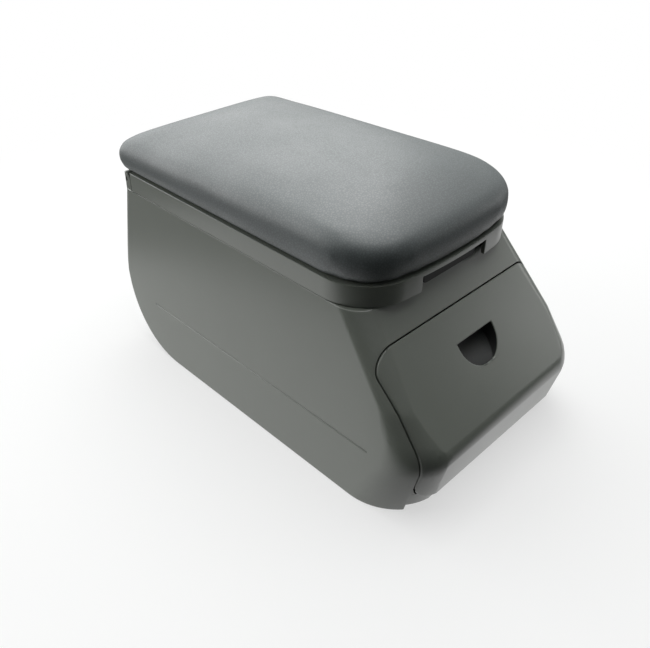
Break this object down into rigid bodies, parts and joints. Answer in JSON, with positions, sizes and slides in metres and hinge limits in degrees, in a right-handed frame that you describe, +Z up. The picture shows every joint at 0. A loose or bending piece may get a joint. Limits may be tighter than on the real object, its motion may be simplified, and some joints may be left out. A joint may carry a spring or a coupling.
{
  "type": "center console",
  "caption": "Armrest console box with a padded hinged lid over a storage well, a finger latch, and a tilt-out tub behind a slanted front flap.",
  "frame": {"origin": "middle of the footprint, on the floor", "axes": "+Y to the rear (the hinge end), -Y to the front flap, +X to the right, +Z up"},
  "size_m": [0.196, 0.316, 0.1828],
  "materials": {
    "shell_plastic": "fine satin grain",
    "frame_plastic": "fine satin grain",
    "flap_plastic": "fine satin grain",
    "inner_plastic": "matt",
    "leatherette": "smooth, soft sheen",
    "board": "raw fibreboard",
    "steel": "zinc plated",
    "rubber": "matt"
  },
  "bodies": {
    "console": {"body_shell": "shell_plastic", "base_plate": "inner_plastic", "base_screws": "steel", "lid_hinge_pin": "steel", "lid_bumpers": "rubber", "latch_keeper": "steel", "keeper_screws": "steel", "flap_pivot_pins": "steel", "flap_bumpers": "rubber"},
    "lid": {"lid_frame": "frame_plastic", "lid_board": "board", "lid_cushion": "leatherette", "lid_inner_panel": "inner_plastic", "lid_screws": "steel", "latch_pin": "steel", "latch_spring": "steel"},
    "latch": {"latch_lever": "inner_plastic"},
    "flap": {"flap_panel": "flap_plastic", "flap_tub": "inner_plastic", "flap_screws": "steel"}
  },
  "joints": [
    {"name": "lid_hinge", "type": "hinge", "parent": "console", "child": "lid", "pos_m": [0, 0.1495, 0.1295], "axis": [-1, 0, 0], "range_deg": [0, 90]},
    {"name": "latch_pivot", "type": "hinge", "parent": "lid", "child": "latch", "pos_m": [0, -0.0925, 0.1298], "axis": [-1, 0, 0], "range_deg": [0, 18], "stiffness_Nm_per_rad": 0.05, "springref_deg": -17.19},
    {"name": "flap_hinge", "type": "hinge", "parent": "console", "child": "flap", "pos_m": [0, -0.141, 0.0062], "axis": [1, 0, 0], "range_deg": [0, 35]}
  ]
}
